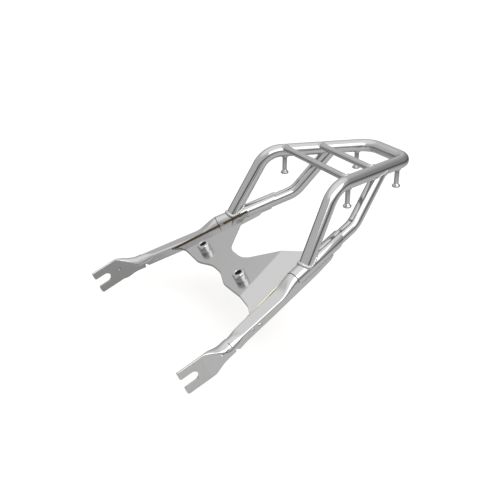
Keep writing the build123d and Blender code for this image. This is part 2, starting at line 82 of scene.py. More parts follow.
# Fineness and shading of new meshes
ROUND_POINTS = 64
BEND_STEP = math.radians(3.0)
LEAST_BEND_STEPS = 4
EDGE_SEGMENTS = 3
SMOOTH_ANGLE = math.radians(32.0)
FLAT_ANGLE = math.radians(0.4)
MERGE_DISTANCE = 1e-6
LARGE_FACE_WEIGHT = 100

# Sockets of Blender's mix node, where other sockets have the same names
COLOUR_A, COLOUR_B, MIXED_COLOUR = 6, 7, 2


class Side(Enum):
    """Which side of the motorcycle a piece is on."""

    LEFT = 1
    RIGHT = -1

    @property
    def word(self) -> str:
        """The side's word in the names of nodes and pieces."""
        return self.name.lower()

    def place(self, point: Vector) -> Vector:
        """Turns a point or a way given on the left into this side's.

        Args:
            point: The point or way on the left.

        Returns:
            The same on this side.
        """
        return Vector((point.x * self.value, point.y, point.z))


class Bar(Enum):
    """The two crossbars of the deck, and the two pairs of hooks."""

    FRONT = "front"
    REAR = "rear"


# Shared effects


class Board:
    """Adds nodes to one tree and joins them.

    Args:
        tree: The node tree of a material, a world or a group.
    """

    def __init__(self, tree: bpy.types.NodeTree) -> None:
        self.tree = tree

    def add(self, kind: str, **values: object) -> bpy.types.Node:
        """Adds one node.

        Args:
            kind: Blender's type of the node.
            values: Its settings, or values of its inputs by name.

        Returns:
            The new node.
        """
        node = self.tree.nodes.new(kind)
        for name, value in values.items():
            if hasattr(node, name):
                setattr(node, name, value)
            else:
                node.inputs[name.replace("_", " ")].default_value = value
        return node

    def join(self, start: bpy.types.NodeSocket, end: bpy.types.NodeSocket) -> None:
        """Links an output to an input."""
        self.tree.links.new(start, end)

    def feed(self, node: bpy.types.Node, values: tuple[object, ...]) -> bpy.types.Node:
        """Gives the first inputs of a node their values.

        Args:
            node: The node.
            values: A value or an output for each input.

        Returns:
            The node.
        """
        for value, socket in zip(values, node.inputs):
            if isinstance(value, bpy.types.NodeSocket):
                self.join(value, socket)
            else:
                socket.default_value = value
        return node

    def vector_maths(self, operation: str, *values: object) -> bpy.types.Node:
        """One vector sum.

        Args:
            operation: Blender's name of the sum.
            values: The vectors or outputs that go in.

        Returns:
            The sum's node.
        """
        return self.feed(self.add("ShaderNodeVectorMath", operation=operation), values)

    def maths(
        self, operation: str, *values: object, clamp: bool = False
    ) -> bpy.types.NodeSocket:
        """One sum of two values.

        Args:
            operation: Blender's name of the sum.
            values: The numbers or outputs that go in.
            clamp: Whether the result stays between 0 and 1.

        Returns:
            The sum's output.
        """
        node = self.add("ShaderNodeMath", operation=operation, use_clamp=clamp)
        return self.feed(node, values).outputs[0]

    def spread(
        self,
        value: bpy.types.NodeSocket,
        ends: tuple[float, float],
        span: tuple[float, float] = (0.0, 1.0),
        kind: str = "LINEAR",
    ) -> bpy.types.NodeSocket:
        """Turns a span of one value into a span of another.

        Args:
            value: What is measured.
            ends: Results at the two ends of its span.
            span: Where the change begins and ends.
            kind: Blender's name of the way from one end to the other.

        Returns:
            The result.
        """
        node = self.add(
            "ShaderNodeMapRange", interpolation_type=kind,
            From_Min=span[0], From_Max=span[1], To_Min=ends[0], To_Max=ends[1],
        )
        self.join(value, node.inputs["Value"])
        return node.outputs["Result"]

    def mixed(
        self, share: bpy.types.NodeSocket, first: Triple, second: Triple
    ) -> bpy.types.NodeSocket:
        """Mixes two colours.

        Args:
            share: Share of the second colour.
            first: Colour where the share is 0.
            second: Colour where the share is 1.

        Returns:
            The mixed colour.
        """
        node = self.add("ShaderNodeMix", data_type="RGBA")
        self.join(share, node.inputs["Factor"])
        node.inputs[COLOUR_A].default_value = (*first, 1.0)
        node.inputs[COLOUR_B].default_value = (*second, 1.0)
        return node.outputs[MIXED_COLOUR]

    def ramp(
        self, value: bpy.types.NodeSocket, stops: tuple[tuple[float, float], ...]
    ) -> bpy.types.NodeSocket:
        """Turns a value into a grey.

        Args:
            value: What is measured, from 0 to 1.
            stops: Place and grey of each stop.

        Returns:
            The grey.
        """
        node = self.add("ShaderNodeValToRGB")
        elements = node.color_ramp.elements
        while len(elements) < len(stops):
            elements.new(0.5)
        for element, (place, grey) in zip(elements, stops):
            element.position = place
            element.color = (grey, grey, grey, 1.0)
        self.join(value, node.inputs["Fac"])
        return node.outputs["Color"]


def new_group(
    name: str, inputs: dict[str, float | Triple], output: str
) -> tuple[Board, bpy.types.Node, bpy.types.NodeSocket]:
    """Starts a node group.

    Args:
        name: The group's name.
        inputs: Its inputs with their values, each a number or a vector.
        output: Name of its one output, a number.

    Returns:
        Its board, its input node and the socket that its result goes to.
    """
    tree = bpy.data.node_groups.new(name, "ShaderNodeTree")
    for label, value in inputs.items():
        kind = "NodeSocketVector" if isinstance(value, tuple) else "NodeSocketFloat"
        socket = tree.interface.new_socket(label, in_out="INPUT", socket_type=kind)
        socket.default_value = value
    tree.interface.new_socket(output, in_out="OUTPUT", socket_type="NodeSocketFloat")
    board = Board(tree)
    source = board.add("NodeGroupInput")
    return board, source, board.add("NodeGroupOutput").inputs[output]


def polish_marks_group() -> bpy.types.NodeTree:
    """Fine crossed scratches that a polishing wheel leaves under the plating."""
    passes = (0.35, 1.9)
    tilt = (1.0, 0.6, 1.3)
    stretch = (1.0, 1.0, 0.07)
    gain = 2.0
    board, source, result = new_group("polish_marks", {"Scale": 900.0}, "Mask")
    place = board.add("ShaderNodeTexCoord")
    masks = []
    for turn in passes:
        rotation = tuple(turn * share for share in tilt)
        mapping = board.add("ShaderNodeMapping", Rotation=rotation, Scale=stretch)
        board.join(place.outputs["Object"], mapping.inputs["Vector"])
        noise = board.add("ShaderNodeTexNoise", Detail=3.0, Roughness=0.6)
        board.join(mapping.outputs["Vector"], noise.inputs["Vector"])
        board.join(source.outputs["Scale"], noise.inputs["Scale"])
        masks.append(noise.outputs["Fac"])
    board.join(board.maths("MULTIPLY", board.maths("MULTIPLY", *masks), gain), result)
    return board.tree


def plating_swell_group() -> bpy.types.NodeTree:
    """Slow swell of plated steel, drawn out along the way that the steel was rolled."""
    fine_to_slow = 24.0
    board, source, result = new_group(
        "plating_swell",
        {"Scale": 22.0, "Grain": 0.012, "Drawn": 0.0, "Heading": (0.0, 1.0, 0.0)},
        "Height",
    )
    place = board.add("ShaderNodeTexCoord").outputs["Object"]
    along = board.vector_maths("DOT_PRODUCT", place, source.outputs["Heading"])
    share = board.maths("MULTIPLY", along.outputs["Value"], source.outputs["Drawn"])
    shift = board.vector_maths("SCALE", source.outputs["Heading"])
    board.join(share, shift.inputs["Scale"])
    drawn = board.vector_maths("SUBTRACT", place, shift.outputs[0]).outputs[0]
    slow = board.add("ShaderNodeTexNoise", Detail=1.0, Roughness=0.4)
    fine = board.add("ShaderNodeTexNoise", Detail=2.0, Roughness=0.55)
    for noise in (slow, fine):
        board.join(drawn, noise.inputs["Vector"])
    scale = source.outputs["Scale"]
    board.join(scale, slow.inputs["Scale"])
    board.join(board.maths("MULTIPLY", scale, fine_to_slow), fine.inputs["Scale"])
    grain = board.maths("MULTIPLY", fine.outputs["Fac"], source.outputs["Grain"])
    board.join(board.maths("ADD", slow.outputs["Fac"], grain), result)
    return board.tree


def edge_rub_group() -> bpy.types.NodeTree:
    """Mask of the corners, where handling leaves the plating a little duller."""
    strength = 9.0
    board, source, result = new_group(
        "edge_rub", {"Reach": 0.55, "Breakup": 140.0}, "Mask"
    )
    shape = board.add("ShaderNodeNewGeometry")
    place = board.add("ShaderNodeTexCoord")
    noise = board.add("ShaderNodeTexNoise", Detail=4.0, Roughness=0.6)
    board.join(place.outputs["Object"], noise.inputs["Vector"])
    board.join(source.outputs["Breakup"], noise.inputs["Scale"])
    sharp = board.maths("SUBTRACT", shape.outputs["Pointiness"], source.outputs["Reach"])
    strong = board.maths("MULTIPLY", sharp, strength)
    board.join(board.maths("MULTIPLY", strong, noise.outputs["Fac"], clamp=True), result)
    return board.tree


GROUPS = {
    "marks": polish_marks_group(),
    "swell": plating_swell_group(),
    "rub": edge_rub_group(),
}


# Finishes

BRIGHT = (0.55, 0.558, 0.555)
PRESSED = (0.54, 0.546, 0.542)
DULL = (0.50, 0.503, 0.498)
RAIL_HEADING = Vector((0.2544, -0.9088, -0.3308))


@dataclass(frozen=True)
class Finish:
    """One finish of the rack's surfaces.

    Attributes:
        name: The finish's name.
        slot: Material slot of the record; not used.
    """

    name: str
    slot: str

    def material(self) -> bpy.types.Material:
        """The material, made at its first use."""
        found = bpy.data.materials.get(self.name)
        if found:
            return found
        material = bpy.data.materials.new(self.name)
        material.use_nodes = True
        board = Board(material.node_tree)
        self.paint(board, board.tree.nodes["Principled BSDF"])
        return material

    def paint(self, board: Board, shader: bpy.types.Node) -> None:
        """Builds the material's nodes.

        Args:
            board: The material's board.
            shader: The shader that the nodes feed.
        """
        raise NotImplementedError


@dataclass(frozen=True)
class Plating(Finish):
    """Bright plated steel.

    Attributes:
        smooth: Roughness of the brightest places.
        dull: Roughness of the dullest places.
        marks: Scale of the polishing marks, per metre.
        swell: Scale of the slow swell, per metre.
        relief: Height of the swell in millimetres.
        colour: Colour of the plating.
        haze: Colour where the plating is duller.
        drawn: How far the swell is drawn out, from 0 to 1.
        heading: Way along which it is drawn out.
    """

    smooth: float
    dull: float
    marks: float
    swell: float
    relief: float
    colour: Triple = BRIGHT
    haze: Triple = DULL
    drawn: float = 0.0
    heading: Triple = (0.0, 1.0, 0.0)

    def paint(self, board: Board, shader: bpy.types.Node) -> None:
        """Builds the nodes of polished plating.

        Args:
            board: The material's board.
            shader: The shader that the nodes feed.
        """
        shader.inputs["Metallic"].default_value = 1.0
        marks = board.add("ShaderNodeGroup", node_tree=GROUPS["marks"], Scale=self.marks)
        swell = board.add(
            "ShaderNodeGroup", node_tree=GROUPS["swell"],
            Scale=self.swell, Drawn=self.drawn, Heading=self.heading,
        )
        rub = board.add("ShaderNodeGroup", node_tree=GROUPS["rub"])
        worn = board.maths("ADD", marks.outputs["Mask"], rub.outputs["Mask"], clamp=True)
        rough = board.spread(worn, (self.smooth, self.dull))
        board.join(rough, shader.inputs["Roughness"])
        tint = board.mixed(worn, self.colour, self.haze)
        board.join(tint, shader.inputs["Base Color"])
        bump = board.add("ShaderNodeBump", Strength=1.0, Distance=self.relief * MM)
        board.join(swell.outputs["Height"], bump.inputs["Height"])
        board.join(bump.outputs["Normal"], shader.inputs["Normal"])


@dataclass(frozen=True)
class BareSteel(Finish):
    """Dark bare steel inside bores, and painted shade for the gaps at joints.

    Attributes:
        colour: Colour of its darkest places.
        lightening: How many times lighter its lightest places are.
        metallic: How metallic it looks, from 0 to 1.
        grain: Scale of its mottling, per metre.
        smooth: Roughness of the darkest places.
        rough: Roughness of the lightest places.
    """

    colour: Triple
    lightening: float = 2.0
    metallic: float = 0.6
    grain: float = 700.0
    smooth: float = 0.45
    rough: float = 0.7

    def paint(self, board: Board, shader: bpy.types.Node) -> None:
        """Builds the nodes of mottled dark steel.

        Args:
            board: The material's board.
            shader: The shader that the nodes feed.
        """
        shader.inputs["Metallic"].default_value = self.metallic
        place = board.add("ShaderNodeTexCoord")
        noise = board.add("ShaderNodeTexNoise", Scale=self.grain, Detail=4.0)
        board.join(place.outputs["Object"], noise.inputs["Vector"])
        light = tuple(self.lightening * value for value in self.colour)
        tint = board.mixed(noise.outputs["Fac"], self.colour, light)
        board.join(tint, shader.inputs["Base Color"])
        rough = board.spread(noise.outputs["Fac"], (self.smooth, self.rough))
        board.join(rough, shader.inputs["Roughness"])


TUBE_FINISH = Plating(
    "tube_plating", "tube_chrome",
    smooth=0.05, dull=0.14, marks=700.0, swell=18.0, relief=0.08,
)
PRESSED_FINISH = Plating(
    "pressed_plating", "pressed_chrome", colour=PRESSED,
    smooth=0.08, dull=0.18, marks=520.0, swell=26.0, relief=0.12,
)
RAIL_FINISHES = {
    side: Plating(
        f"{side.word}_rail_plating", "pressed_chrome", colour=PRESSED,
        smooth=0.07, dull=0.16, marks=520.0, swell=130.0, relief=0.22,
        drawn=0.96, heading=tuple(side.place(RAIL_HEADING)),
    )
    for side in Side
}
PLATE_FINISH = Plating(
    "plate_plating", "plate_chrome",
    smooth=0.10, dull=0.20, marks=620.0, swell=14.0, relief=0.05,
)
SEAM_TINTS_AND_SHADE = {
    Side.LEFT: Plating(
        "straw_seam_plating", "weld_chrome",
        colour=(0.66, 0.62, 0.52), haze=(0.58, 0.53, 0.42),
        smooth=0.20, dull=0.36, marks=900.0, swell=260.0, relief=0.20,
    ),
    # Painted shade: the right seam's near-black brown stands for the shadow in the corner
    # gap between rail and wing, over a brown heat tint of the weld.
    Side.RIGHT: Plating(
        "burnt_seam_plating", "weld_chrome",
        colour=(0.055, 0.042, 0.030), haze=(0.13, 0.10, 0.065),
        smooth=0.30, dull=0.50, marks=900.0, swell=260.0, relief=0.20,
    ),
}
ROD_FINISH = Plating(
    "rod_plating", "rod_chrome", colour=(0.52, 0.525, 0.523),
    smooth=0.12, dull=0.26, marks=800.0, swell=40.0, relief=0.06,
)
COLLAR_FINISH = Plating(
    "collar_plating", "collar_chrome",
    smooth=0.05, dull=0.16, marks=1100.0, swell=60.0, relief=0.03,
)
WELD_FINISH = Plating(
    "weld_plating", "weld_chrome", colour=(0.55, 0.555, 0.55),
    smooth=0.16, dull=0.32, marks=900.0, swell=320.0, relief=0.12,
)
BORE_FINISH = BareSteel("bare_bore", "collar_chrome", (0.03, 0.03, 0.032))
# Painted shade: near-black mottled finish for the ring that stands for the shadowed gap
# between sleeve and rail.
GAP_SHADE_FINISH = BareSteel("bare_inside", "pressed_chrome", (0.05, 0.05, 0.052))


# Modelling steps


class Bench:
    """Steps that every new piece is shaped with."""

    @staticmethod
    def clear() -> None:
        """Leaves edit mode and deselects everything."""
        if bpy.context.object and bpy.context.object.mode != "OBJECT":
            bpy.ops.object.mode_set(mode="OBJECT")
        bpy.ops.object.select_all(action="DESELECT")

    @staticmethod
    def pick(piece: bpy.types.Object) -> None:
        """Makes one piece the only selected and active object."""
        Bench.clear()
        piece.select_set(True)
        bpy.context.view_layer.objects.active = piece

    @staticmethod
    def copy_of(node: str, name: str) -> bpy.types.Object:
        """Copies a CAD node and merges its mesh, so that its edges can be rounded.

        Args:
            node: The node's name.
            name: The new piece's name.

        Returns:
            The new piece, without materials.
        """
        Bench.pick(frame["nodes"][node])
        bpy.ops.object.duplicate()
        piece = bpy.context.object
        piece.name = name
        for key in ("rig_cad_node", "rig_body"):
            if key in piece:
                del piece[key]
        piece.parent = None
        piece.data.materials.clear()
        bpy.ops.object.mode_set(mode="EDIT")
        bpy.ops.mesh.customdata_custom_splitnormals_clear()
        bpy.ops.mesh.select_all(action="SELECT")
        bpy.ops.mesh.remove_doubles(threshold=MERGE_DISTANCE)
        bpy.ops.mesh.dissolve_limited(angle_limit=FLAT_ANGLE)
        Bench.clear()
        return piece

    @staticmethod
    def ring(
        name: str, centre: Vector, direction: Vector, radius: float
    ) -> bpy.types.Object:
        """Starts a piece from a ring of points and enters edit mode.

        Args:
            name: The piece's name.
            centre: Middle of the ring.
            direction: Way that the ring faces.
            radius: The ring's radius.

        Returns:
            The new piece.
        """
        Bench.clear()
        turn = direction.to_track_quat("Z", "Y").to_euler()
        bpy.ops.mesh.primitive_circle_add(
            vertices=ROUND_POINTS, radius=radius, location=centre, rotation=turn
        )
        piece = bpy.context.object
        piece.name = name
        bpy.ops.object.mode_set(mode="EDIT")
        bpy.ops.mesh.select_all(action="SELECT")
        return piece

    @staticmethod
    def draw_out(step: Vector) -> None:
        """Extrudes what is selected by a step."""
        bpy.ops.mesh.extrude_region_move(TRANSFORM_OT_translate={"value": step})

    @staticmethod
    def swing(angle: float, centre: Vector, axis: Vector) -> None:
        """Extrudes what is selected round an axis."""
        steps = max(LEAST_BEND_STEPS, round(abs(angle) / BEND_STEP))
        bpy.ops.mesh.spin(
            steps=steps, dupli=False, angle=-angle, center=centre, axis=axis
        )

    @staticmethod
    def widen(factor: float, centre: Vector) -> None:
        """Scales what is selected about a point."""
        bpy.ops.transform.resize(value=(factor,) * 3, center_override=centre)

    @staticmethod
    def close_ends() -> None:
        """Fills the open ends of a tube."""
        bpy.ops.mesh.select_all(action="SELECT")
        bpy.ops.mesh.fill_holes(sides=0)

    @staticmethod
    def face_out() -> None:
        """Merges doubles and turns every face outwards."""
        bpy.ops.mesh.select_all(action="SELECT")
        bpy.ops.mesh.remove_doubles(threshold=MERGE_DISTANCE)
        bpy.ops.mesh.normals_make_consistent(inside=False)

    @staticmethod
    def soften(piece: bpy.types.Object, width: float, angle: float = 40.0) -> None:
        """Rounds the sharp edges of a piece.

        Args:
            piece: The piece.
            width: Width of the rounding.
            angle: Edges sharper than this many degrees are rounded.
        """
        Bench.pick(piece)
        bevel = piece.modifiers.new("soft_edges", "BEVEL")
        bevel.width = width
        bevel.segments = EDGE_SEGMENTS
        bevel.limit_method = "ANGLE"
        bevel.angle_limit = math.radians(angle)
        bpy.ops.object.modifier_apply(modifier=bevel.name)

    @staticmethod
    def flatten_shading(piece: bpy.types.Object) -> None:
        """Lets large flat faces rule the shading of the roundings beside them."""
        Bench.pick(piece)
        even = piece.modifiers.new("even_shading", "WEIGHTED_NORMAL")
        even.mode = "FACE_AREA"
        even.weight = LARGE_FACE_WEIGHT
        even.keep_sharp = True
        bpy.ops.object.modifier_apply(modifier=even.name)
        Bench.clear()

    @staticmethod
    def settle(piece: bpy.types.Object) -> None:
        """Puts a piece's place into its mesh and smooths its shading."""
        Bench.pick(piece)
        bpy.ops.object.transform_apply(location=True, rotation=True, scale=True)
        bpy.ops.object.shade_smooth_by_angle(angle=SMOOTH_ANGLE)
        Bench.clear()


def hand_over(piece: bpy.types.Object, finish: Finish, nodes: list[str]) -> None:
    """Gives a shaped piece its finish and its place in the frame.

    Args:
        piece: The piece. Materials that it already has are kept.
        finish: Its finish.
        nodes: CAD nodes that it takes the place of.
    """
    if not piece.data.materials:
        piece.data.materials.append(finish.material())
    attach(piece, "root")
    if nodes:
        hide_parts(*nodes)
    log.info("%s: %d faces, %s", piece.name, len(piece.data.polygons), finish.name)


def dress_node(name: str, finish: Finish) -> None:
    """Gives a CAD node its finish and leaves its mesh as it is.

    Args:
        name: The node.
        finish: Its finish.
    """
    node = frame["nodes"][name]
    for slot in node.material_slots:
        slot.link = "OBJECT"
        slot.material = finish.material()
    log.info("%s: CAD node, %s", name, finish.name)


@dataclass
class BentTube:
    """A round tube or bar drawn along straight runs and bent at its corners.

    Attributes:
        name: The piece's name.
        corners: Ends and corners of its centre line.
        bends: Bend radius at each inner corner.
        radius: Outer radius.
    """

    name: str
    corners: list[Vector]
    bends: list[float]
    radius: float

    def build(self) -> bpy.types.Object:
        """Draws the tube out run by run.

        Returns:
            The piece, closed at both ends.
        """
        heading = (self.corners[1] - self.corners[0]).normalized()
        place = self.corners[0].copy()
        piece = Bench.ring(self.name, place, heading, self.radius)
        for corner, after, bend in zip(self.corners[1:-1], self.corners[2:], self.bends):
            leaving = (after - corner).normalized()
            angle = heading.angle(leaving)
            reach = bend * math.tan(angle / 2)
            start = corner - heading * reach
            Bench.draw_out(start - place)
            inward = (leaving - heading * heading.dot(leaving)).normalized()
            axis = heading.cross(leaving).normalized()
            Bench.swing(angle, start + inward * bend, axis)
            place = corner + leaving * reach
            heading = leaving
        Bench.draw_out(self.corners[-1] - place)
        Bench.close_ends()
        Bench.face_out()
        Bench.settle(piece)
        return piece


@dataclass
class Turning:
    """A turned piece, drawn up ring by ring along its axis.

    Attributes:
        name: The piece's name.
        foot: Point of the axis from which heights are measured.
        axis: Way that the axis points.
        profile: Height and radius of each ring.
        edge: Width of the rounding of its edges.
        hollow: Whether the last ring joins the first instead of being capped.
    """

    name: str
    foot: Vector
    axis: Vector
    profile: list[tuple[float, float]]
    edge: float
    hollow: bool = False

    def build(self) -> bpy.types.Object:
        """Draws up the rings.

        Returns:
            The piece.
        """
        height, radius = self.profile[0]
        piece = Bench.ring(self.name, self.foot + self.axis * height, self.axis, radius)
        for next_height, next_radius in self.profile[1:]:
            Bench.draw_out(self.axis * (next_height - height))
            Bench.widen(next_radius / radius, self.foot + self.axis * next_height)
            height, radius = next_height, next_radius
        if self.hollow:
            bpy.ops.mesh.select_all(action="DESELECT")
            bpy.ops.mesh.select_non_manifold(extend=False)
            bpy.ops.mesh.bridge_edge_loops()
        else:
            Bench.close_ends()
        Bench.face_out()
        Bench.clear()
        Bench.soften(piece, self.edge)
        Bench.settle(piece)
        return piece


@dataclass(frozen=True)
class BeadSize:
    """How thick a weld bead is.

    Attributes:
        reach: How far it stands out from the branch.
        climb: How far it climbs the branch.
        ripple: Length of one ripple.
    """

    reach: float
    climb: float
    ripple: float


@dataclass
class WeldRing:
    """A rippled weld bead where a round branch meets a round main tube.

    Attributes:
        name: The piece's name.
        branch: Point and direction of the branch's axis, leaving the main tube.
        branch_radius: Radius of the branch.
        main: Point and direction of the main tube's axis.
        main_radius: Radius of the main tube.
        size: How thick the bead is.
    """

    name: str
    branch: tuple[Vector, Vector]
    branch_radius: float
    main: tuple[Vector, Vector]
    main_radius: float
    size: BeadSize

    SECTION_POINTS = 14
    STEPS_PER_RIPPLE = 7
    SEAM_TO_GIRTH = 1.25
    VALLEY_SHARE = 0.86
    RIPPLE_SHARE = 0.14
    DRIFT_SHARE = 0.03
    DRIFT_WAVES = 7.0

    def foot(self, angle: float) -> tuple[Vector, Vector]:
        """Finds where the branch's wall meets the main tube.

        Args:
            angle: Place round the branch.

        Returns:
            The point, and the way out of the branch from there.
        """
        point, heading = self.branch
        side = heading.orthogonal().normalized()
        out = Matrix.Rotation(angle, 3, heading) @ side
        start = point + out * self.branch_radius
        origin, along = self.main
        gap = start - origin
        across = gap - along * gap.dot(along)
        slope = heading - along * heading.dot(along)
        a = slope.dot(slope)
        b = 2 * across.dot(slope)
        c = across.dot(across) - self.main_radius**2
        root = max(b * b - 4 * a * c, 0.0)
        return start + heading * ((-b + math.sqrt(root)) / (2 * a)), out

    def build(self) -> bpy.types.Object:
        """Shapes a torus into the bead.

        Returns:
            The piece.
        """
        heading = self.branch[1]
        girth = 2 * math.pi * self.branch_radius
        ripples = round(girth * self.SEAM_TO_GIRTH / self.size.ripple)
        steps = ripples * self.STEPS_PER_RIPPLE
        Bench.clear()
        bpy.ops.mesh.primitive_torus_add(
            major_segments=steps,
            minor_segments=self.SECTION_POINTS,
            major_radius=self.branch_radius,
            minor_radius=self.size.reach,
        )
        piece = bpy.context.object
        piece.name = self.name
        places = []
        for step in range(steps):
            centre, out = self.foot(2 * math.pi * step / steps)
            wave = abs(math.sin(math.pi * ripples * step / steps))
            drift = math.sin(self.DRIFT_WAVES * step / steps * math.pi)
            swell = self.VALLEY_SHARE + self.RIPPLE_SHARE * wave
            swell += self.DRIFT_SHARE * drift
            for corner in range(self.SECTION_POINTS):
                turn = 2 * math.pi * corner / self.SECTION_POINTS
                offset = out * (self.size.reach * math.cos(turn) * swell)
                offset += heading * (self.size.climb * math.sin(turn) * swell)
                places.extend(centre + offset)
        piece.data.vertices.foreach_set("co", places)
        piece.data.update()
        Bench.pick(piece)
        bpy.ops.object.mode_set(mode="EDIT")
        Bench.face_out()
        Bench.settle(piece)
        return piece


# Sizes of the whole rack


@dataclass(frozen=True)
class RailLine:
    """Line of the left side rail.

    Attributes:
        joint: Where the rail meets its sleeve.
        splay: Step to the left for each step forward.
        rise: Step down for each step forward.
    """

    joint: Vector = Vector((108.3, 172.0, 72.2)) * MM
    splay: float = 0.28
    rise: float = 0.364

    @property
    def forward(self) -> Vector:
        """Way from the joint to the fork bracket."""
        return Vector((self.splay, -1.0, -self.rise)).normalized()

    @property
    def across(self) -> Vector:
        """Way to the left, square to the rail."""
        return Vector((1.0, self.splay, 0.0)).normalized()

    @property
    def lift(self) -> Vector:
        """Way up, square to the rail."""
        return self.forward.cross(self.across)

    def point(self, station: float, across: float = 0.0) -> Vector:
        """Finds a point beside the line.

        Args:
            station: Distance forward of the joint.
            across: Distance to the left.

        Returns:
            The point.
        """
        return self.joint + self.forward * station + self.across * across


@dataclass(frozen=True)
class DeckLine:
    """Centre line of the deck's hoop on the left.

    Attributes:
        height: Height of the deck.
        front_y: Place of the front corners.
        rear_y: Place of the rear corners.
        front_half: Half width at the front corners.
        rear_half: Half width at the rear corners.
    """

    height: float = 180.0 * MM
    front_y: float = 241.5 * MM
    rear_y: float = 400.0 * MM
    front_half: float = 89.5 * MM
    rear_half: float = 42.5 * MM

    @property
    def front(self) -> Vector:
        """Corner above the leg."""
        return Vector((self.front_half, self.front_y, self.height))

    @property
    def rear(self) -> Vector:
        """Corner at the rear."""
        return Vector((self.rear_half, self.rear_y, self.height))

    @property
    def run(self) -> Vector:
        """Way of the side run to the rear."""
        return (self.rear - self.front).normalized()

    def half_width(self, y: float) -> float:
        """Half width between the side runs at one distance to the rear."""
        share = (y - self.front_y) / (self.rear_y - self.front_y)
        return self.front_half + share * (self.rear_half - self.front_half)

    def side_point(self, y: float) -> Vector:
        """Point of the side run at one distance to the rear."""
        return Vector((self.half_width(y), y, self.height))


@dataclass(frozen=True)
class PlatePlane:
    """Top of the centre plate's flat middle.

    Attributes:
        slope: Rise for each step to the rear.
        height: Height above the frame's origin.
    """

    slope: float = 0.475
    height: float = 2.85 * MM

    @property
    def normal(self) -> Vector:
        """Way up, square to the plane."""
        return Vector((0.0, -self.slope, 1.0)).normalized()

    def point(self, x: float, y: float) -> Vector:
        """Point of the plane above or below one place."""
        return Vector((x, y, self.height + self.slope * y))


RAIL = RailLine()
DECK = DeckLine()
PLATE = PlatePlane()
TUBE_RADIUS = 9.5 * MM
SLEEVE_RADIUS = 11.0 * MM
CROSSBAR_PLACES = {Bar.FRONT: 267.0 * MM, Bar.REAR: 321.0 * MM}
HOOK_PLACES = {Bar.FRONT: 269.0 * MM, Bar.REAR: 378.7 * MM}
LEG_BEAD = BeadSize(reach=2.3 * MM, climb=3.5 * MM, ripple=2.6 * MM)
BRACE_BEAD = BeadSize(reach=1.3 * MM, climb=1.9 * MM, ripple=1.9 * MM)
BAR_BEAD = BeadSize(reach=1.2 * MM, climb=1.5 * MM, ripple=1.5 * MM)
HOOK_BEAD = BeadSize(reach=1.8 * MM, climb=1.5 * MM, ripple=1.4 * MM)


# Parts of the rack


@dataclass
class Hoop:
    """The hoop that forms the deck and its two legs.

    Attributes:
        foot_distance: Distance from the rail's joint back to the legs' feet.
        front_bend: Bend radius above the legs.
        rear_bend: Bend radius at the rear corners.
    """

    foot_distance: float = 16.5 * MM
    front_bend: float = 38.0 * MM
    rear_bend: float = 25.0 * MM

    def leg_foot(self) -> Vector:
        """End of the left leg on the rail line."""
        return RAIL.point(-self.foot_distance)

    def build(self) -> None:
        """Builds the hoop tube and the weld rings at the feet of its legs."""
        half = [self.leg_foot(), DECK.front, DECK.rear]
        other = [Side.RIGHT.place(point) for point in reversed(half)]
        bends = [self.front_bend, self.rear_bend, self.rear_bend, self.front_bend]
        tube = BentTube("hoop_bright_tube", half + other, bends, TUBE_RADIUS)
        hand_over(tube.build(), TUBE_FINISH, ["hoop_tube"])
        for side in Side:
            self.build_leg_weld(side)

    def build_leg_weld(self, side: Side) -> None:
        """Builds the weld ring round one leg's foot."""
        foot = side.place(self.leg_foot())
        leg = (side.place(DECK.front) - foot).normalized()
        bead = WeldRing(
            f"{side.word}_leg_bead",
            branch=(foot, leg),
            branch_radius=TUBE_RADIUS,
            main=(foot, side.place(RAIL.forward)),
            main_radius=SLEEVE_RADIUS,
            size=LEG_BEAD,
        )
        hand_over(bead.build(), WELD_FINISH, [f"{side.word}_leg_weld"])


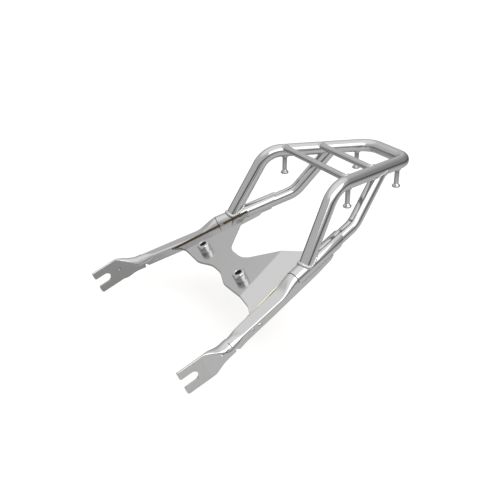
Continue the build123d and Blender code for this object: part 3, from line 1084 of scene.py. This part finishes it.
@dataclass
class Stay:
    """Brace tube, its sleeve, a ring of painted shade at the sleeve's joint and its weld
    on one side.

    Attributes:
        side: Side that it is on.
        top_y: Where the brace meets the hoop.
        bend_distance: Distance from the rail's joint back to the brace's corner.
        bend: Bend radius at that corner.
        spigot: How far the brace runs forward past the joint.
        sleeve_top: Length of the sleeve along its top.
        sleeve_bottom: Length of the sleeve along its underside.
        cuff: How far the sleeve is drawn forward past the joint.
        cuff_gap: Width of the ring of painted shade that stands for the gap between sleeve
            and rail.
        shell_gain: How far the sleeve's shell stands proud of the solid.
        gap_gain: How far that ring of painted shade stands proud of it.
        sleeve_edge: Width of the rounding of the sleeve's edges.
        edge_angle: Edges of the sleeve sharper than this many degrees are rounded.
    """

    side: Side
    top_y: float = 340.5 * MM
    bend_distance: float = 124.3 * MM
    bend: float = 40.0 * MM
    spigot: float = 2.0 * MM
    sleeve_top: float = 93.5 * MM
    sleeve_bottom: float = 79.5 * MM
    cuff: float = 4.5 * MM
    cuff_gap: float = 1.0 * MM
    shell_gain: float = 0.25 * MM
    gap_gain: float = 0.05 * MM
    sleeve_edge: float = 0.45 * MM
    edge_angle: float = 60.0

    def build(self) -> None:
        """Builds the brace tube, the sleeve, a dark ring of painted shade for the gap and
        the weld ring.
        """
        word = self.side.word
        line = [
            RAIL.point(self.spigot),
            RAIL.point(-self.bend_distance),
            DECK.side_point(self.top_y),
        ]
        corners = [self.side.place(point) for point in line]
        tube = BentTube(f"{word}_brace_bright_tube", corners, [self.bend], TUBE_RADIUS)
        hand_over(tube.build(), TUBE_FINISH, [f"{word}_brace_tube"])
        hand_over(self.build_sleeve(), TUBE_FINISH, [f"{word}_rail_sleeve"])
        stations = self.cuff, self.cuff + self.cuff_gap
        gap = [self.side.place(RAIL.point(station)) for station in stations]
        # Painted shade: a thin near-black ring standing proud of the sleeve stands for the
        # shadow in the joint's gap.
        ring = BentTube(f"{word}_joint_gap", gap, [], SLEEVE_RADIUS + self.gap_gain)
        hand_over(ring.build(), GAP_SHADE_FINISH, [])
        _, corner, top = corners
        bead = WeldRing(
            f"{word}_brace_bead",
            branch=(top, (corner - top).normalized()),
            branch_radius=TUBE_RADIUS,
            main=(top, self.side.place(DECK.run)),
            main_radius=TUBE_RADIUS,
            size=BRACE_BEAD,
        )
        hand_over(bead.build(), WELD_FINISH, [f"{word}_brace_weld"])

    def build_sleeve(self) -> bpy.types.Object:
        """Draws out the sleeve and cuts its rear end oblique.

        Returns:
            The piece.
        """
        start = self.side.place(RAIL.point(self.cuff))
        end = self.side.place(RAIL.point(-self.sleeve_top - self.cuff))
        heading = (end - start).normalized()
        name = f"{self.side.word}_sleeve_shell"
        piece = Bench.ring(name, start, heading, SLEEVE_RADIUS + self.shell_gain)
        Bench.draw_out(end - start)
        middle = RAIL.point(-(self.sleeve_top + self.sleeve_bottom) / 2)
        lean = (self.sleeve_top - self.sleeve_bottom) / (2 * SLEEVE_RADIUS)
        normal = -RAIL.forward - RAIL.lift * lean
        bpy.ops.mesh.select_all(action="SELECT")
        bpy.ops.mesh.bisect(
            plane_co=self.side.place(middle),
            plane_no=self.side.place(normal),
            clear_outer=True,
        )
        Bench.close_ends()
        Bench.face_out()
        Bench.clear()
        Bench.soften(piece, self.sleeve_edge, self.edge_angle)
        Bench.settle(piece)
        return piece


@dataclass
class Crossbar:
    """One crossbar of the deck with the welds at its ends.

    Attributes:
        place: Which crossbar it is.
        y: Its distance to the rear.
        radius: Its radius.
        rise: Height of its axis above the hoop's.
        inset: Distance from the hoop's centre line to the corner of its end.
        end_angle: How steeply its ends turn down.
        end_length: Length of the ends that turn down.
        bend: Bend radius at the ends.
    """

    place: Bar
    y: float
    radius: float = 5.0 * MM
    rise: float = 4.5 * MM
    inset: float = 5.5 * MM
    end_angle: float = math.radians(65.0)
    end_length: float = 9.0 * MM
    bend: float = 7.0 * MM

    def build(self) -> None:
        """Builds the bar and its two weld rings."""
        half = DECK.half_width(self.y) - self.inset
        height = DECK.height + self.rise
        out = self.end_length * math.cos(self.end_angle)
        down = self.end_length * math.sin(self.end_angle)
        end = Vector((half + out, self.y, height - down))
        corner = Vector((half, self.y, height))
        corners = [end, corner, Side.RIGHT.place(corner), Side.RIGHT.place(end)]
        name = self.place.value
        bar = BentTube(f"{name}_deck_bar", corners, [self.bend] * 2, self.radius)
        hand_over(bar.build(), ROD_FINISH, [f"{name}_crossbar"])
        for side in Side:
            self.build_weld(side, corner, end)

    def build_weld(self, side: Side, corner: Vector, end: Vector) -> None:
        """Builds the weld ring at one end of the bar.

        Args:
            side: The end's side.
            corner: Corner of the left end.
            end: Tip of the left end.
        """
        bead = WeldRing(
            f"{self.place.value}_{side.word}_bar_bead",
            branch=(side.place(end), side.place(corner - end).normalized()),
            branch_radius=self.radius,
            main=(side.place(DECK.side_point(self.y)), side.place(DECK.run)),
            main_radius=TUBE_RADIUS,
            size=BAR_BEAD,
        )
        hand_over(bead.build(), WELD_FINISH, [])


@dataclass
class HookPost:
    """A turned hook post that hangs under the hoop.

    Attributes:
        place: Which pair it belongs to.
        side: Side that it is on.
        y: Its distance to the rear.
        shank: Radius of its shank.
        head: Radius of its head.
        head_height: Height of its head.
        length: Its length below the hoop.
        edge: Width of the rounding of its edges.
    """

    place: Bar
    side: Side
    y: float
    shank: float = 3.5 * MM
    head: float = 6.0 * MM
    head_height: float = 6.5 * MM
    length: float = 27.7 * MM
    edge: float = 0.25 * MM

    HEAD_TO_DOME = 3.0
    DOME_START = 5.0
    DOME_STEP = 8.5
    DOME_RINGS = 11
    RIM_TO_DOME = 1.7
    NECK_HEIGHT_SHARE = 0.8
    NECK_TO_SHANK = 1.25

    def profile(self) -> list[tuple[float, float]]:
        """Height and radius of each ring from the tip up."""
        dome_height = self.head_height / self.HEAD_TO_DOME
        turns = [
            math.radians(self.DOME_START + self.DOME_STEP * step)
            for step in range(self.DOME_RINGS)
        ]
        return [
            *(
                (dome_height * (1 - math.cos(turn)), self.head * math.sin(turn))
                for turn in turns
            ),
            (self.RIM_TO_DOME * dome_height, self.head),
            (self.head_height * self.NECK_HEIGHT_SHARE, self.shank * self.NECK_TO_SHANK),
            (self.head_height, self.shank),
            (self.length + self.shank, self.shank),
        ]

    def build(self) -> None:
        """Builds the post and the weld ring at its top."""
        middle = self.side.place(DECK.side_point(self.y))
        tip = middle - UP * (TUBE_RADIUS + self.length)
        name = f"{self.place.value}_{self.side.word}"
        post = Turning(f"{name}_hook_post", tip, UP, self.profile(), self.edge)
        hand_over(post.build(), ROD_FINISH, [f"{name}_hook"])
        bead = WeldRing(
            f"{name}_hook_bead",
            branch=(middle, -UP),
            branch_radius=self.shank,
            main=(middle, self.side.place(DECK.run)),
            main_radius=TUBE_RADIUS,
            size=HOOK_BEAD,
        )
        hand_over(bead.build(), WELD_FINISH, [])


@dataclass
class PressedSide:
    """Pressed side rail and fork bracket on one side, which stay CAD nodes.

    Attributes:
        side: Side that they are on.
    """

    side: Side

    def build(self) -> None:
        """Dresses both nodes."""
        word = self.side.word
        dress_node(f"{word}_side_rail", RAIL_FINISHES[self.side])
        dress_node(f"{word}_fork_bracket", PRESSED_FINISH)


@dataclass
class BoredCollar:
    """One bored collar on the centre plate.

    Attributes:
        side: Side that it is on.
        x: Distance of its axis from the middle.
        y: Distance of its foot to the rear.
        radius: Outer radius.
        bore: Radius of the bore.
        height: Height above the plate.
        chamfer: Size of the chamfer round its top.
        mouth: Size of the chamfer at the bore's mouth.
        edge: Width of the rounding of its edges.
        grooves: Number of grooves in the bore.
        groove_depth: Depth of a groove.
        groove_width: Height of a groove.
        bore_margin: Faces up to this far outside the bore's radius belong to it.
    """

    side: Side
    x: float = 53.6 * MM
    y: float = 120.2 * MM
    radius: float = 9.25 * MM
    bore: float = 4.5 * MM
    height: float = 11.5 * MM
    chamfer: float = 1.0 * MM
    mouth: float = 0.9 * MM
    edge: float = 0.12 * MM
    grooves: int = 11
    groove_depth: float = 0.25 * MM
    groove_width: float = 0.45 * MM
    bore_margin: float = 0.3 * MM

    def profile(self) -> list[tuple[float, float]]:
        """Height and radius of each ring, up the outside and down the bore."""
        shoulder = self.height - self.chamfer
        rings = [
            (0.0, self.radius),
            (shoulder, self.radius),
            (self.height, self.radius - self.chamfer),
            (self.height, self.bore + self.mouth),
            (self.height - self.mouth, self.bore),
        ]
        for step in range(self.grooves):
            height = shoulder - (step + 0.5) * shoulder / self.grooves
            rings.append((height, self.bore + self.groove_depth))
            rings.append((height - self.groove_width, self.bore))
        return [*rings, (0.0, self.bore)]

    def build(self) -> None:
        """Builds the collar with its bare bore."""
        foot = PLATE.point(self.x * self.side.value, self.y)
        name = f"{self.side.word}_bored_collar"
        collar = Turning(
            name, foot, PLATE.normal, self.profile(), self.edge, hollow=True
        ).build()
        collar.data.materials.append(COLLAR_FINISH.material())
        collar.data.materials.append(BORE_FINISH.material())
        for face in collar.data.polygons:
            arm = face.center - foot
            radial = arm - PLATE.normal * arm.dot(PLATE.normal)
            if radial.length < self.bore + self.bore_margin:
                face.material_index = 1
        hand_over(collar, COLLAR_FINISH, [f"{self.side.word}_boss_collar"])


@dataclass
class PlateAssembly:
    """Folded centre plate with its two collars and its welds to the rails; the right welds
    are painted shade over a brown heat tint.

    Attributes:
        edge: Width of the rounding of the plate's edges.
        fold_front: Front end of the left fold.
        wing: Way up from the left wing.
        rail_half_width: Distance from the rail's line to its inner wall.
        seam_radius: Radius of the runs of weld.
        seam_lift: Height of their middle above the wing's top.
        seams: Name, first and last station of each run of weld.
    """

    edge: float = 0.35 * MM
    fold_front: Vector = Vector((82.3, 107.3, 53.8)) * MM
    wing: Vector = Vector((0.2463, -0.3465, 0.9051))
    rail_half_width: float = 10.8 * MM
    seam_radius: float = 1.2 * MM
    seam_lift: float = 0.8 * MM
    seams: tuple[tuple[str, float, float], ...] = (
        ("front", 84.0 * MM, 3.0 * MM),
        ("rear", -3.0 * MM, -44.0 * MM),
    )

    def build(self) -> None:
        """Builds the plate, both collars and the seams along the rails."""
        self.build_plate()
        for side in Side:
            BoredCollar(side).build()
            self.build_seams(side)

    def build_plate(self) -> None:
        """Rounds the edges of a copy of the plate."""
        piece = Bench.copy_of("centre_plate", "folded_plate")
        Bench.soften(piece, self.edge)
        Bench.settle(piece)
        Bench.flatten_shading(piece)
        hand_over(piece, PLATE_FINISH, ["centre_plate"])

    def seam_point(self, station: float) -> Vector:
        """Finds where the left wing's top meets the inner wall of the left rail.

        Args:
            station: Distance forward of the rail's joint.

        Returns:
            The point.
        """
        start = RAIL.point(station, -self.rail_half_width)
        height = (self.fold_front - start).dot(self.wing) / RAIL.lift.dot(self.wing)
        return start + RAIL.lift * height

    def build_seams(self, side: Side) -> None:
        """Builds the runs of weld between a wing and its rail; on the right they are
        darkened into painted shade of the corner gap.
        """
        lift = RAIL.lift * self.seam_lift
        for name, first, last in self.seams:
            ends = [side.place(self.seam_point(place) + lift) for place in (first, last)]
            bead = BentTube(f"{side.word}_{name}_seam", ends, [], self.seam_radius)
            # Painted shade: the right runs are near-black to stand for the shadow in the
            # corner gap.
            hand_over(bead.build(), SEAM_TINTS_AND_SHADE[side], [])


# Studio


@dataclass(frozen=True)
class SoftBox:
    """A soft box that faces the rack.

    Attributes:
        name: The lamp's name.
        azimuth: Its direction in degrees from the left, turning to the rear.
        elevation: Its height in degrees.
        size: Width and height.
        distance: Distance from its target.
        radiance: Brightness of its face, where 1 is white.
        target: Point that it faces.
    """

    name: str
    azimuth: float
    elevation: float
    size: tuple[float, float]
    distance: float
    radiance: float
    target: Vector = Vector((0.0, 0.19, 0.08))

    def build(self) -> None:
        """Hangs the box."""
        turn, tilt = math.radians(self.azimuth), math.radians(self.elevation)
        level = math.cos(tilt)
        way = Vector((math.cos(turn) * level, math.sin(turn) * level, math.sin(tilt)))
        width, height = self.size
        data = bpy.data.lights.new(self.name, "AREA")
        data.shape = "RECTANGLE"
        data.size, data.size_y = self.size
        data.energy = self.radiance * math.pi * width * height
        lamp = bpy.data.objects.new(self.name, data)
        bpy.context.scene.collection.objects.link(lamp)
        lamp.location = self.target + way * self.distance
        lamp.rotation_euler = (-way).to_track_quat("-Z", "Y").to_euler()


@dataclass(frozen=True)
class Viewpoint:
    """Where the photograph was taken from.

    Attributes:
        eye: Place of the camera.
        sight: Way that it looks.
        roll: Its turn about that way.
        lens: Focal length in millimetres.
        sensor: Width of its sensor in millimetres.
        shift_up: Shift of the picture, as a share of the sensor.
    """

    eye: Vector = Vector((0.8856, -0.3305, 0.5317))
    sight: Vector = Vector((-0.791, 0.4415, -0.4237))
    roll: float = math.radians(-0.14)
    lens: float = 56.5
    sensor: float = 36.0
    shift_up: float = 0.017

    def build(self) -> None:
        """Places the camera."""
        data = bpy.data.cameras.new("camera")
        data.lens = self.lens
        data.sensor_width = self.sensor
        data.shift_y = self.shift_up
        camera = bpy.data.objects.new("camera", data)
        bpy.context.scene.collection.objects.link(camera)
        turn = self.sight.to_track_quat("-Z", "Y").to_matrix()
        roll = Matrix.Rotation(self.roll, 3, self.sight.normalized())
        camera.matrix_world = Matrix.Translation(self.eye) @ (roll @ turn).to_4x4()
        bpy.context.scene.camera = camera


@dataclass(frozen=True)
class Floor:
    """White paper under the rack, which reflections see shaded.

    Attributes:
        drop: Gap between the rack's lowest point and the floor.
        size: Length of its sides.
        seen: Colour of the paper to the camera.
        lighting: Colour of the paper in the light that it throws back.
        glow: Brightness that is added for the camera.
        glow_tint: Colour of that brightness.
        mirrored: Share of the shaded floor in reflections.
        lit_way: Way to the side that reflections see lit.
        lit_span: Where along that way the tone begins and ends to change.
        lit_tones: Tones on the dark and on the lit side.
        fade_span: Distances at which the floor begins and ends to fade.
        fade_tones: Share of the tone left at those distances.
    """

    drop: float = 0.4 * MM
    size: float = 60.0
    seen: Triple = (0.42, 0.42, 0.42)
    lighting: Triple = (0.66, 0.655, 0.645)
    glow: float = 0.66
    glow_tint: Triple = (1.0, 0.99, 0.965)
    mirrored: float = 0.75
    lit_way: Triple = (0.94, 0.34, 0.0)
    lit_span: tuple[float, float] = (-0.7, 1.0)
    lit_tones: tuple[float, float] = (0.40, 0.85)
    fade_span: tuple[float, float] = (0.35, 1.7)
    fade_tones: tuple[float, float] = (1.0, 0.12)

    def build(self) -> None:
        """Lays the floor under the lowest point of the rack."""
        Bench.clear()
        bpy.ops.mesh.primitive_plane_add(
            size=self.size, location=(0.0, 0.0, CAD_BOX[0].z - self.drop)
        )
        floor = bpy.context.object
        floor.name = "floor"
        floor.data.materials.append(self.material())

    def material(self) -> bpy.types.Material:
        """White paper to the camera, with a shaded floor in reflections."""
        material = bpy.data.materials.new("pale_floor")
        material.use_nodes = True
        board = Board(material.node_tree)
        board.tree.nodes.remove(board.tree.nodes["Principled BSDF"])
        rays = board.add("ShaderNodeLightPath").outputs
        matt = board.add("ShaderNodeBsdfDiffuse")
        tint = board.mixed(rays["Is Camera Ray"], self.lighting, self.seen)
        board.join(tint, matt.inputs["Color"])
        glow = board.add("ShaderNodeEmission", Color=(*self.glow_tint, 1.0))
        strength = board.maths("MULTIPLY", rays["Is Camera Ray"], self.glow)
        board.join(strength, glow.inputs["Strength"])
        paper = board.add("ShaderNodeAddShader")
        board.join(matt.outputs[0], paper.inputs[0])
        board.join(glow.outputs[0], paper.inputs[1])
        shaded = board.add("ShaderNodeEmission")
        board.join(self.tone(board), shaded.inputs["Strength"])
        mirror = board.maths("ADD", rays["Is Glossy Ray"], rays["Is Transmission Ray"])
        choice = board.add("ShaderNodeMixShader")
        board.join(board.maths("MULTIPLY", mirror, self.mirrored), choice.inputs[0])
        board.join(paper.outputs[0], choice.inputs[1])
        board.join(shaded.outputs[0], choice.inputs[2])
        output = board.tree.nodes["Material Output"]
        board.join(choice.outputs[0], output.inputs["Surface"])
        return material

    def tone(self, board: Board) -> bpy.types.NodeSocket:
        """Tone of the floor in reflections: lit at the left, dark at the horizon.

        Args:
            board: The material's board.

        Returns:
            The tone.
        """
        place = board.add("ShaderNodeTexCoord").outputs["Object"]
        heading = board.vector_maths("NORMALIZE", place).outputs[0]
        lit = board.vector_maths("DOT_PRODUCT", heading, self.lit_way).outputs["Value"]
        tone = board.spread(lit, self.lit_tones, self.lit_span, "SMOOTHSTEP")
        reach = board.vector_maths("LENGTH", place).outputs["Value"]
        fade = board.spread(reach, self.fade_tones, self.fade_span, "SMOOTHSTEP")
        return board.maths("MULTIPLY", tone, fade)


@dataclass(frozen=True)
class Surroundings:
    """The studio's walls: white to the camera, shaded in reflections.

    Attributes:
        walls: Place and grey of each stop from the ground up to overhead.
        rear_way: Way to the rear of the studio.
        rear_span: Where along that way the shade begins and ends to change.
        rear_shades: Factors in front of that span and behind it.
        white: Colour of the walls.
    """

    walls: tuple[tuple[float, float], ...] = (
        (0.0, 0.06), (0.05, 0.08), (0.10, 0.34), (0.17, 0.55),
        (0.50, 0.58), (0.62, 0.62), (0.74, 0.88), (1.0, 0.98),
    )
    rear_way: Triple = (-0.05, 0.98, 0.10)
    rear_span: tuple[float, float] = (0.62, 0.97)
    rear_shades: tuple[float, float] = (1.3, 0.6)
    white: Triple = (1.0, 1.0, 1.0)

    def build(self) -> None:
        """Builds the world's nodes."""
        world = bpy.data.worlds.new("studio")
        bpy.context.scene.world = world
        world.use_nodes = True
        board = Board(world.node_tree)
        background = board.tree.nodes["Background"]
        way = board.add("ShaderNodeTexCoord").outputs["Generated"]
        split = board.add("ShaderNodeSeparateXYZ")
        board.join(way, split.inputs["Vector"])
        walls = board.ramp(split.outputs["Z"], self.walls)
        rear = board.vector_maths("DOT_PRODUCT", way, self.rear_way).outputs["Value"]
        shade = board.spread(rear, self.rear_shades, self.rear_span, "SMOOTHSTEP")
        rays = board.add("ShaderNodeLightPath")
        strength = board.add("ShaderNodeMix", data_type="FLOAT")
        board.join(rays.outputs["Is Camera Ray"], strength.inputs["Factor"])
        board.join(board.maths("MULTIPLY", walls, shade), strength.inputs["A"])
        strength.inputs["B"].default_value = 1.0
        board.join(strength.outputs["Result"], background.inputs["Strength"])
        background.inputs["Color"].default_value = (*self.white, 1.0)


KEY_BOX = SoftBox(
    "key_box", azimuth=8.0, elevation=40.0, size=(2.0, 1.1), distance=1.7, radiance=1.75
)


def write_sizes() -> None:
    """Updates the view layer; the CAD box and the visual model's box are not written."""
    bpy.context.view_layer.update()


def main() -> None:
    """Builds the studio and every part of the rack in order."""
    logging.basicConfig(level=logging.INFO, format="%(name)s: %(message)s")
    for setting in (Viewpoint(), Floor(), KEY_BOX, Surroundings()):
        setting.build()
    bpy.context.scene.view_settings.view_transform = "Standard"
    Hoop().build()
    for side in Side:
        Stay(side).build()
        PressedSide(side).build()
    for place, y in CROSSBAR_PLACES.items():
        Crossbar(place, y).build()
    for place, y in HOOK_PLACES.items():
        for side in Side:
            HookPost(place, side, y).build()
    PlateAssembly().build()
    write_sizes()


if __name__ == "__main__":
    main()
